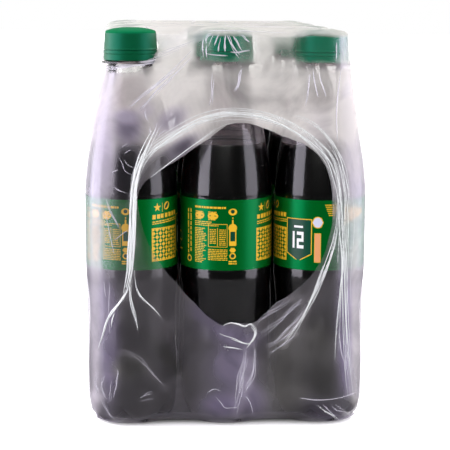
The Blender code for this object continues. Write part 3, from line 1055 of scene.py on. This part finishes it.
def film_pieces():
    """The front face in fine steps and the rest in coarser ones, from one drawn-tight net."""
    hull = film_hull()
    net = shrunk(film_net(hull))
    edge = np.array([np.argmax(line[:, 1] > TUCK) for line in net], float)
    for i, j in enumerate(edge.astype(int)):
        low, high = net[i, j - 1, 1], net[i, j, 1]
        edge[i] = j - 1 + (TUCK - low) / (high - low)
    pieces = []
    for name, (rounds, steps), seed in (("film_front", FRONT_STEPS, 5), ("film_wrap", WRAP_STEPS, 6)):
        front = name == "film_front"
        i = np.arange(rounds) * AROUND / rounds
        end = np.interp(i, np.arange(AROUND + 1), np.append(edge, edge[0]))
        share = np.linspace(0, 1, steps)
        first, last = (0, end) if front else (end, ALONG - 1)
        j = np.reshape(first, (-1, 1)) + np.reshape(last - first, (-1, 1)) * share
        points = smooth_at(net, i[:, None] + 0 * j, j)
        out = normals_of(points)
        # how far each point is from its open edge, where small folds run in from the gathered rim
        run = np.linalg.norm(np.diff(points, axis=1), axis=2).cumsum(axis=1)
        run = np.concatenate([np.zeros((rounds, 1)), run], axis=1)
        if not front:
            run = run[:, -1:] - run
        fold = periodic_noise(FRONT_STEPS[0], range(40, 150, 3), np.random.default_rng(seed))
        fold = fold[np.arange(rounds) * FRONT_STEPS[0] // rounds]
        height = 0.12 * MM * fold[:, None] * (np.exp(-run / 0.012) * (1 - np.exp(-run / 0.003)))
        points = points + out * np.maximum(height, -0.1 * MM)[..., None]
        mesh, used = net_mesh(name, points)
        pieces.append((name, mesh, points.reshape(-1, 3)[used], run.reshape(-1)[used]))
    return hull, pieces, net


# Milky places in the camera's view: middle, half-sizes, lean in degrees clockwise, how milky, and how lilac
MILKY = [
    ((232, 366), (28, 36), 3, 0.20, 0.9),
    ((222, 405), (24, 14), 0, 0.26, 1.0),
    ((254, 400), (18, 18), 0, 0.18, 0.9),
    ((232, 335), (34, 10), 8, 0.12, 0.9),
    ((205, 318), (20, 9), 38, 0.10, 0.9),
    ((110, 345), (10, 60), 0, 0.20, 1.0),
    ((103, 300), (12, 40), 0, 0.12, 0.7),
    ((345, 335), (10, 80), 0, 0.18, 1.0),
    ((356, 320), (6, 95), 0, 0.60, 0.2),
    ((95, 320), (6, 95), 0, 0.40, 0.3),
    ((96, 400), (8, 10), 0, 0.40, 0.3),
    ((104, 235), (14, 40), 0, 0.10, 0.0),
    ((353, 235), (10, 40), 0, 0.10, 0.0),
    ((349, 168), (10, 28), 0, 0.40, 0.3),
    ((103, 120), (13, 60), 0, 0.35, 0.3),
    ((320, 410), (26, 12), 20, 0.05, 0.8),
    ((246, 378), (7, 34), 10, 0.14, 0.7),
    ((128, 168), (13, 30), 0, -0.30, 0.6),
    ((174, 153), (24, 8), -36, -0.40, 0.4),
    ((283, 134), (18, 6), 25, -0.12, 0.0),
    ((146, 235), (7, 34), -8, -0.08, 0.0),
    ((322, 126), (16, 24), 0, 0.42, 0.1),
    ((344, 105), (12, 48), 0, 0.60, 0.0),
    ((312, 49), (18, 17), 0, -0.60, 0.0),
    ((330, 49), (11, 16), 0, -0.22, 0.0),
    ((226, 49), (30, 16), 0, -0.30, 0.0),
    ((283, 54), (10, 11), 0, -0.42, 0.0),
    ((350, 405), (9, 9), 0, -0.20, 0.0),
    ((288, 375), (24, 50), 0, 0.03, 0.0),
    ((318, 345), (16, 30), 0, 0.04, 0.0),
    ((168, 358), (7, 26), -40, -0.04, 0.0),
    ((130, 368), (18, 12), 0, -0.03, 0.0),
    ((322, 380), (12, 16), 0, -0.03, 0.0),
]
# Veils in the camera's view: middle, half-sizes, lean, and the haze, lilac and painted shade there
VEILED = [
    ((128, 128), (14, 15), 0, 0.86, 0.7, 0.72),
    ((127, 117), (13, 8), 0, 0.88, 0.6, 0.42),
    ((106, 158), (8, 34), 0, 0.62, 0.5, 0.04),
    ((146, 110), (9, 9), 0, 0.85, 0.3, 0.25),
    ((134, 90), (11, 16), 0, 0.70, 0.0, 0.28),
    ((171, 120), (17, 11), -32, 0.92, 0.5, 0.42),
    ((182, 148), (16, 7), -36, 0.70, 0.6, 0.80),
    ((217, 86), (14, 26), 0, 0.80, 0.0, 0.28),
    ((186, 47), (7, 18), 0, 0.97, 0.0, 0.06),
    ((206, 48), (8, 16), 0, 0.20, 0.0, 0.0),
    ((199, 49), (4.5, 14), 0, 0.14, 0.0, 0.0),
    ((298, 50), (6, 14), 0, 0.04, 0.0, 0.0),
    ((244, 48), (9, 16), 0, 0.18, 0.0, 0.0),
    ((265, 48), (8, 18), 0, 0.95, 0.0, 0.06),
    ((281, 72), (18, 11), 0, 0.94, 0.0, 0.16),
    ((96, 234), (6, 38), 0, 0.57, 0.0, 0.22),
    ((355, 212), (7, 9), 0, 0.55, 0.0, 0.05),
    ((348, 108), (9, 42), 0, 0.97, 0.1, 0.0),
    ((350, 170), (10, 26), 0, 0.92, 0.25, 0.0),
    ((238, 84), (13, 24), 0, 0.52, 0.0, 0.05),
    ((320, 84), (16, 24), 0, 0.60, 0.0, 0.0),
    ((227, 65), (27, 3.2), 0, 0.26, 0.0, 0.05),
    ((321, 66), (28, 3.6), 0, 0.22, 0.0, 0.05),
]


def standing_off(points):
    """How far each point is from the nearest bottle, in millimetres."""
    nearest = np.full(len(points), 1e3)
    for spot in SPOTS:
        local, radius = seen_from(points, spot)
        height = local[:, 2] / MM
        profile = np.array(film_profile(spot))
        wall = np.interp(height, profile[:, 1], profile[:, 0])
        over = np.maximum(height - profile[-1, 1], 0)
        nearest = np.minimum(nearest, np.hypot(np.maximum(radius / MM - wall, 0), over))
    return nearest


def from_rear_caps(points):
    """How far each point is from the nearest cap's axis behind the front row, in millimetres."""
    rear = [spot for spot in SPOTS if spot[0] > 1]
    return np.min([seen_from(points, spot)[1] for spot in rear], axis=0) / MM


def veils_at(x, y):
    """Milky bands along every cord and crease, where the film is drawn into small folds."""
    total = np.zeros(len(x))
    for rows, each, most in ((CORDS, 0.016, 0.13), (CREASES, 0.03, 0.12)):
        for count, spread, _, path in rows:
            reach = 1.3 + 1.5 * spread
            line = np.array(curve_through(path, 8))
            low, high = line.min(axis=0) - 3 * reach, line.max(axis=0) + 3 * reach
            near = np.flatnonzero((x > low[0]) & (x < high[0]) & (y > low[1]) & (y < high[1]))
            gap = np.hypot(x[near][:, None] - line[:, 0], y[near][:, None] - line[:, 1]).min(axis=1)
            total[near] += min(each * count, most) * np.exp(-((gap / reach) ** 2))
    return total


def spot_share(x, y, middle, half, lean):
    """A soft-edged oval: 1 in its middle and near 0 past its half-sizes."""
    a = math.radians(lean)
    u = ((x - middle[0]) * math.cos(a) + (y - middle[1]) * math.sin(a)) / half[0]
    v = (-(x - middle[0]) * math.sin(a) + (y - middle[1]) * math.cos(a)) / half[1]
    return np.exp(-((u**2 + v**2) ** 1.5))


def rising(values, start, length):
    """0 up to the start, and 1 from a length past it."""
    return np.clip((values - start) / length, 0, 1)


def falling(values, end, length):
    """1 up to a length before the end, and 0 past the end."""
    return np.clip((end - values) / length, 0, 1)


def film_look(points, run, front):
    """How milky and lilac the film is, and how much painted shade it takes: milkier where it stands off, high
    up and in folds.

    Run says how far each point is from the film's open edge, in metres like its coordinates."""
    across, back, height = points.T
    loose = 1 - np.exp(-((standing_off(points) / 5) ** 2))
    high = rising(height, 0.135, 0.035)
    by_caps = rising(height, 0.196, 0.006)
    flat_top = rising(height, 0.2185, 0.002)
    underneath = falling(height, 0.008, 0.006)
    haze = 0.08 + 0.03 * np.exp(-run / 0.006) + 0.75 * flat_top + 0.3 * high * (1 - by_caps)
    haze += loose * (0.04 + 0.5 * high) + 0.12 * underneath
    # pressed on to the caps behind the front row, the film lies close and clears
    haze -= 0.33 * flat_top * falling(from_rear_caps(points), 13.5, 3)
    lilac = 0.3 * (1 - high)
    # painted shade on the flat top: none over the left column, growing towards the right
    shade = 0.14 * flat_top * rising(across, -0.06, 0.04)
    if front:
        right, up, forward = (np.array(v) for v in camera_axes())
        ray = points - np.array(CAMERA_AT)
        away = ray @ forward
        x = VIEW_SIDE / 2 + FOCAL * (ray @ right) / away
        y = VIEW_SIDE / 2 - FOCAL * (ray @ up) / away
        # what is placed in the camera's view fades out before the film turns to the sides
        facing = falling(back, TUCK, 0.014)
        haze += veils_at(x, y) * facing
        for middle, half, lean, more, cool in MILKY:
            share = spot_share(x, y, middle, half, lean) * facing
            haze += more * share
            lilac += (cool - lilac) * share
        for middle, half, lean, milk, cool, dim in VEILED:
            share = spot_share(x, y, middle, half, lean) * facing
            haze += (milk - haze) * share
            lilac += (cool - lilac) * share
            shade += (dim - shade) * share
    return np.clip(haze, 0.02, 1), np.clip(lilac, 0, 1), np.clip(shade, 0, 1)


def add_film():
    """The drawn-tight film in two pieces, with its gathered cords and creases on it."""
    hull, pieces, net = film_pieces()
    material = shrink_film()
    for name, mesh, points, run in pieces:
        front = name == "film_front"
        for look, values in zip(FILM_LOOK, film_look(points, run, front)):
            mesh.attributes.new(look, "FLOAT", "POINT").data.foreach_set("value", values.astype(np.float32))
        mesh.materials.append(material)
        # the front piece stands for the CAD film, and the others add to it
        add_piece(name, mesh, Matrix.Identity(4), "film", *(("film",) if front else ()))
    face = bmesh.new()
    face.from_mesh(pieces[0][1])
    add_creases([BVHTree.FromBMesh(face), hull], net)
    face.free()


# ---------------------------------------------------------------- gathered film and creases

PIXEL = 0.8 / FOCAL  # metres across one pixel at the front row

# Each cord of gathered film, and each crease: how many strands, how far they spread and how wide they
# are, in pixels, and the path that they follow in the camera's view
CORDS = [
    # down the left of the hole
    (2, 0.4, 4.2, [
        (146, 150), (140, 168), (136, 185), (134.5, 200), (134, 220), (133.5, 240), (132.5, 258), (131, 272),
        (128, 285),
    ]),
    (2, 0.3, 2.2, [(129, 282), (126, 293), (119, 304), (112, 313), (106, 323)]),
    (10, 2.3, 1.7, [
        (157, 128), (150, 142), (143, 157), (138, 171), (135, 186), (134, 200), (133, 215), (133, 235),
        (132, 255), (131, 270), (128, 284), (125, 296),
    ]),
    # the arch over it, and its fan on the right
    (15, 3.8, 0.62, [
        (134, 205), (136, 182), (142, 165), (153, 150), (169, 138), (188, 127), (206, 119), (225, 115),
        (243, 115), (262, 118), (279, 123), (294, 130), (308, 140), (320, 151), (329, 163), (334, 178),
        (336, 192), (337, 215),
    ]),
    (6, 2.3, 0.62, [(140, 170), (153, 152), (170, 139), (189, 128), (207, 120), (226, 115)]),
    (9, 3.2, 0.7, [
        (297, 127), (316, 141), (329, 155), (337, 172), (341, 190), (342, 215), (341, 245), (341, 275),
    ]),
    (5, 2.4, 0.62, [
        (286, 113), (302, 118), (318, 127), (332, 141), (341, 157), (346, 176), (349, 198), (350, 222),
    ]),
    # down the right
    (8, 2.2, 1.0, [
        (334, 188), (336, 215), (333, 240), (327, 262), (318, 285), (308, 306), (298, 325), (285, 345),
    ]),
    (8, 2.6, 0.8, [
        (345, 170), (347, 200), (347, 230), (346, 260), (346, 290), (347, 330), (349, 370), (352, 398),
    ]),
    (4, 1.5, 0.8, [(338, 190), (340, 230), (343, 260), (341, 290), (338, 330), (337, 360)]),
    # where the left one frays
    (4, 0.8, 1.2, [
        (130, 270), (126, 292), (119, 304), (112, 312), (107, 322), (103, 335), (98, 350), (95, 366),
    ]),
    (3, 0.9, 0.8, [(131, 275), (130, 290), (132, 305), (135, 318), (138, 331)]),
    (3, 0.9, 0.9, [(134, 270), (136, 286), (140, 296), (148, 304), (155, 311), (163, 321)]),
    (2, 0.4, 0.8, [(120, 303), (116, 308), (114, 313)]),
    (2, 0.3, 1.4, [(114, 313), (112, 320), (111, 327)]),
    # the knot under the hole
    (4, 0.9, 1.1, [(223, 326), (230, 323), (237, 323.5), (245, 326), (250, 324), (254, 326)]),
    (4, 1.6, 1.2, [(251, 325), (255, 331), (253, 338), (249, 344), (246, 348)]),
    (2, 0.5, 1.0, [(213, 330), (222, 335), (233, 339), (243, 343), (250, 344)]),
    (2, 0.4, 0.8, [(222, 346), (234, 348), (245, 350)]),
    # at the right foot, and inside the arch
    (3, 0.7, 0.9, [(316, 405), (324, 411), (333, 416), (341, 422)]),
    (3, 0.6, 0.6, [(150, 178), (165, 166), (185, 151), (205, 137), (222, 125), (240, 121)]),
]
CREASES = [
    # from the left neck up to the middle cap
    (6, 1.6, 0.7, [(129, 108), (142, 97), (160, 82), (178, 66), (196, 47)]),
    (5, 1.6, 0.7, [(139, 110), (154, 94), (172, 77), (191, 57)]),
    (4, 1.4, 0.7, [(133, 63), (147, 58), (160, 54), (178, 47), (198, 40)]),
    (2, 0.8, 0.6, [(146, 108), (146, 116), (149, 122)]),
    # where the left cord fans out at its top
    (1, 0.1, 1.0, [(153, 138), (155, 130), (157, 123)]),
    (1, 0.1, 1.0, [(154, 138), (158, 130), (162, 125)]),
    (1, 0.1, 0.8, [(155, 140), (161, 133), (166, 130)]),
    (1, 0.1, 0.8, [(152, 138), (150, 132), (150, 127)]),
    # pleats over the middle cap
    (3, 0.8, 1.1, [(219, 34), (217, 39), (214, 46)]),
    (3, 0.8, 1.2, [(225, 34), (225, 42), (225, 52)]),
    (3, 1.0, 1.2, [(226, 36), (232, 47), (241, 58)]),
    (3, 0.8, 1.1, [(232, 34), (236, 40), (240, 47)]),
    (3, 1.0, 0.9, [(211, 33), (207, 38), (205, 44)]),
    (3, 1.0, 0.8, [(240, 34), (246, 38), (251, 44)]),
    (1, 0.1, 1.0, [(214, 34), (211, 40), (209, 46)]),
    (1, 0.1, 1.0, [(229, 35), (231, 40), (233, 47)]),
    (2, 0.5, 1.2, [(203, 38), (202, 48), (203, 57)]),
    (2, 0.5, 1.2, [(207, 42), (206, 50), (207, 58)]),
    (2, 0.6, 1.2, [(220, 37), (219, 45), (218, 52)]),
    (2, 0.6, 1.2, [(235, 38), (239, 47), (244, 55)]),
    (2, 0.6, 1.0, [(206, 53.5), (216, 55.5), (228, 56)]),
    (2, 0.6, 1.0, [(230, 52), (240, 52), (250, 50)]),
    # the right cap's side
    (2, 0.5, 1.0, [(337, 42), (336, 50), (336, 61)]),
    (2, 0.7, 1.0, [(343, 37), (343, 50), (343, 62)]),
    (2, 0.6, 0.9, [(347, 41), (347, 52), (347, 63)]),
    # down the middle and right necks: partly creases, and partly pale strands that are painted highlights of
    # the necks behind
    (2, 0.6, 1.1, [(311, 70), (309, 85), (306, 108)]),
    (3, 1.6, 1.5, [(243, 67), (240, 78), (236, 92)]),
    (2, 1.0, 1.3, [(213, 72), (213, 88), (211, 106)]),
    (1, 0.1, 1.6, [(313, 71), (315, 84), (318, 97)]),
    (1, 0.1, 1.6, [(319, 73), (322, 84), (326, 96)]),
    (2, 0.6, 1.1, [(342, 62), (339, 85), (337, 110), (337, 140), (338, 152)]),
    # on the left bottle
    (1, 0.1, 0.8, [(122, 147), (125, 145), (128, 143)]),
    (1, 0.1, 0.8, [(124, 154), (128, 151), (131, 150)]),
    (1, 0.1, 0.8, [(124, 160), (128, 165), (134, 168)]),
    (1, 0.1, 0.7, [(122, 165), (126, 172), (133, 175)]),
    (1, 0.1, 0.7, [(119, 158), (122, 163), (124, 169)]),
    (1, 0.1, 0.9, [(112, 173), (115, 171), (118, 170)]),
    (2, 0.5, 0.7, [(106, 198), (110, 210), (116, 222), (121, 232)]),
    (2, 0.6, 0.6, [(111, 184), (119, 190), (130, 194)]),
    (1, 0.1, 0.8, [(106, 215), (110, 235), (114, 254)]),
    (1, 0.1, 0.8, [(115, 240), (122, 234), (128, 230)]),
    (1, 0.1, 0.9, [(104, 282), (105, 290), (106, 297)]),
    (1, 0.1, 0.9, [(110, 283), (109, 300), (109, 318), (110, 334)]),
    # from the knot up to the right
    (6, 2.4, 0.5, [(257, 322), (268, 313), (280, 305), (294, 296)]),
    (6, 2.8, 0.5, [(261, 334), (275, 323), (289, 311), (302, 299)]),
    (6, 2.0, 0.7, [(268, 347), (281, 337), (294, 325), (306, 308)]),
    (3, 1.5, 0.6, [(270, 353), (283, 345), (296, 334)]),
    # the knot's tail
    (9, 2.6, 0.6, [(246, 348), (245, 362), (242, 376), (240, 388), (237, 402), (236, 415)]),
    (6, 1.8, 0.6, [(254, 343), (254, 360), (252, 374), (247, 386), (243, 393)]),
    (2, 0.8, 0.9, [(246, 396), (251, 402), (253, 413)]),
    (1, 0.1, 0.9, [(216, 397), (222, 404), (226, 408), (238, 407)]),
    (1, 0.1, 0.9, [(207, 393), (214, 389), (221, 391)]),
    # round the left foot
    (3, 1.2, 0.9, [(97, 372), (96, 382), (98, 394)]),
    (3, 1.6, 0.9, [(104, 374), (102, 386), (104, 396), (109, 401)]),
    (2, 1.0, 0.7, [(110, 376), (110, 390), (110, 402)]),
    (2, 1.2, 0.7, [(118, 370), (116, 385), (114, 398)]),
    (1, 0.1, 0.6, [(140, 398), (146, 395), (152, 394)]),
    (1, 0.1, 0.6, [(141, 401.5), (147, 399.5), (153, 399)]),
    (1, 0.1, 0.6, [(144, 395), (148, 392.5), (152, 391.5)]),
    (2, 0.9, 0.7, [(101, 398), (105, 408), (111, 417), (120, 421), (129, 417)]),
    # round the right foot
    (2, 0.5, 0.8, [(300, 398), (315, 400), (330, 399), (345, 396), (357, 391)]),
    (2, 0.6, 0.8, [(323, 404), (328, 410), (336, 417)]),
    (2, 0.5, 0.8, [(329, 403), (336, 410), (344, 412)]),
    (1, 0.1, 0.8, [(335, 404), (340, 408), (345, 411)]),
    # the right edge
    (3, 1.5, 0.9, [(346, 335), (347, 360), (350, 394)]),
    (2, 0.8, 0.8, [(339, 330), (341, 348), (345, 364)]),
    (2, 1.0, 0.9, [(353, 366), (356, 382), (358, 398)]),
    # the top's front edge, and one low on the left bottle
    (2, 0.3, 1.0, [(197, 31.5), (212, 30.8), (228, 30.6), (246, 31), (262, 32), (290, 33)]),
    (3, 2.0, 0.35, [(165, 388), (150, 372), (140, 360), (122, 352)]),
]


def tapered(width, count):
    """Widths along a strand of this many points: full in the middle and slim at both ends."""
    return width * np.sin(math.pi * np.linspace(0.04, 0.96, count)) ** 0.6


class Strands:
    """Many slim flattened cords in one mesh."""

    SIDES = 5
    THICKNESS, LIFT = 0.55, 0.45  # for each half of its width
    LONGEST_STEP = 0.012  # metres: a strand that would jump further breaks off

    def __init__(self, trees):
        self.trees = trees
        self.points, self.faces = [], []

    def on_film(self, x, y):
        """The film's surface under a point of the camera's view."""
        start, aim = pixel_ray(x, y)
        for tree in self.trees:
            place, out, _, _ = tree.ray_cast(start, aim)
            if place is not None:
                return place, -out if out.dot(aim) > 0 else out
        return None

    def cord(self, places, outs, widths):
        """One cord along places, lying flat on the surface whose directions are outs."""
        base = len(self.points)
        count = len(places)
        for k in range(count):
            along = (places[min(k + 1, count - 1)] - places[max(k - 1, 0)]).normalized()
            across = along.cross(outs[k]).normalized()
            up = across.cross(along)
            reach = widths[k] / 2
            for j in range(self.SIDES):
                a = math.tau * j / self.SIDES
                rise = reach * self.THICKNESS * math.sin(a) + reach * self.LIFT
                self.points.append(tuple(places[k] + (across * (reach * math.cos(a)) + up * rise)))
        for k in range(count - 1):
            for j in range(self.SIDES):
                n = (j + 1) % self.SIDES
                a, b = base + k * self.SIDES, base + (k + 1) * self.SIDES
                self.faces.append((a + j, a + n, b + n, b + j))
        self.faces.append(tuple(base + j for j in reversed(range(self.SIDES))))
        last = base + (count - 1) * self.SIDES
        self.faces.append(tuple(last + j for j in range(self.SIDES)))

    def sheaf(self, count, spread, width, path, draw):
        """Strands side by side along a path, each of its own length and wander."""
        line = np.array(curve_through(path, 5))
        flow = np.gradient(line, axis=0)
        flow /= np.linalg.norm(flow, axis=1, keepdims=True)
        side = np.stack([-flow[:, 1], flow[:, 0]], axis=1)
        steps = np.arange(len(line))
        for _ in range(count):
            reach = 1.0 if count == 1 else draw.uniform(0.45, 1.0)
            start = draw.uniform(0, 1 - reach)
            t = np.linspace(start, start + reach, max(6, int(len(line) * reach)))
            at = t * (len(line) - 1)
            middle, aside = (
                np.stack([np.interp(at, steps, run[:, k]) for k in (0, 1)], axis=1) for run in (line, side)
            )
            shift = draw.normal() * 0.7
            wander = 0.5 * np.sin(math.tau * (t * draw.uniform(0.5, 2) + draw.random()))
            offset = spread * (shift + wander)
            own = width * draw.uniform(0.5, 1.1)
            places, outs, widths = [], [], []
            for (x, y), w in zip(middle + aside * offset[:, None], tapered(own, len(t))):
                hit = self.on_film(x, y)
                if hit is None or places and (hit[0] - places[-1]).length > self.LONGEST_STEP:
                    continue
                places.append(hit[0])
                outs.append(hit[1])
                widths.append(w * PIXEL)
            if len(places) > 3:
                self.cord(places, outs, widths)

    def on_net(self, net, i, j, width):
        """A strand through points of the film's own net."""
        i = i % AROUND
        line = smooth_at(net, i, j)
        further, nearer = np.minimum(j + 0.5, ALONG - 1.01), np.maximum(j - 0.5, 0.01)
        ahead = smooth_at(net, i, further) - smooth_at(net, i, nearer)
        beside = smooth_at(net, i + 0.5, j) - smooth_at(net, i - 0.5, j)
        outs = np.cross(ahead, beside)
        outs /= np.linalg.norm(outs, axis=1, keepdims=True)
        outs *= np.where(((line - PACK_MIDDLE) * outs).sum(1) < 0, -1, 1)[:, None]
        self.cord([Vector(p) for p in line], [Vector(o) for o in outs], tapered(width, len(line)))

    def mesh(self, name):
        """All of them as one mesh."""
        mesh = bpy.data.meshes.new(name)
        mesh.from_pydata(self.points, [], self.faces)
        mesh.shade_smooth()
        return mesh


def add_torn_rim(creases, draw):
    """The torn rim that hugs the neck of the bottle whose cap has burst through, higher on its right."""
    stand_in = STANDS[TORN]
    below = stand_in @ Vector((0, 0, 0.2))
    for _ in range(14):
        angles = draw.uniform(0, math.tau) + np.linspace(0, draw.uniform(1.6, 4.2), 28)
        aside, above = draw.uniform(-0.2, 0.5), draw.normal() * 0.9
        places = []
        for a in angles:
            radius, height = 15.4 + 1.9 * math.cos(a) + aside, 201.4 + 2.4 * math.cos(a) + above
            places.append(stand_in @ (Vector((math.cos(a) * radius, math.sin(a) * radius, height)) * MM))
        outs = [(place - below).normalized() for place in places]
        creases.cord(places, outs, tapered(draw.uniform(0.25, 0.6) * MM, len(places)))


def add_creases(trees, net):
    """Gathered cords and fine creases: drawn ones on the front face, and random ones on the rest."""
    draw = np.random.default_rng(3)
    cords, creases = Strands(trees), Strands(trees)
    for rows, strands in ((CORDS, cords), (CREASES, creases)):
        for count, spread, width, path in rows:
            strands.sheaf(count, spread, width, path, draw)
    add_torn_rim(creases, draw)
    # the rope round the back hole
    t = np.linspace(0, 1, 60)
    for _ in range(26):
        start, length = draw.uniform(0, AROUND), draw.uniform(60, 240)
        inset = abs(draw.normal()) * 2.4 + 0.8 * np.sin(math.tau * (t + draw.random()))
        width = draw.uniform(0.4, 1.3) * MM
        cords.on_net(net, start + length * t, np.clip(ALONG - 1.4 - inset, 0, ALONG - 1.2), width)
    # creases that run out from the back hole
    t = np.linspace(0, 1, 16)
    for _ in range(120):
        i = draw.uniform(0, AROUND)
        first = ALONG - 3 - draw.uniform(0, 30)
        j = first - draw.uniform(6, 26) * t
        width = draw.uniform(0.2, 0.7) * MM
        creases.on_net(net, i + draw.normal() * 3 * t, j, width)
    # and over the top, the sides and the base, most of them lengthwise
    t = np.linspace(-0.5, 0.5, 16)
    for _ in range(150):
        i, j = draw.uniform(0, AROUND), draw.uniform(60, ALONG - 60)
        width = draw.uniform(0.15, 0.5) * MM
        lengthwise = draw.random() < 0.6
        round_run = draw.normal() * 2 if lengthwise else draw.uniform(6, 18)
        long_run = draw.uniform(6, 22) if lengthwise else draw.normal() * 2
        creases.on_net(net, i + round_run * t, j + long_run * t, width)
    for strands, name, material in (
        (cords, "film_cords", gathered_film()),
        (creases, "film_creases", creased_film()),
    ):
        mesh = strands.mesh(name)
        mesh.materials.append(material)
        add_piece(name, mesh, Matrix.Identity(4), "film")


STANDS = {spot: stand(*spot) for spot in SPOTS}

add_camera()
add_studio()
add_bottles()
add_film()
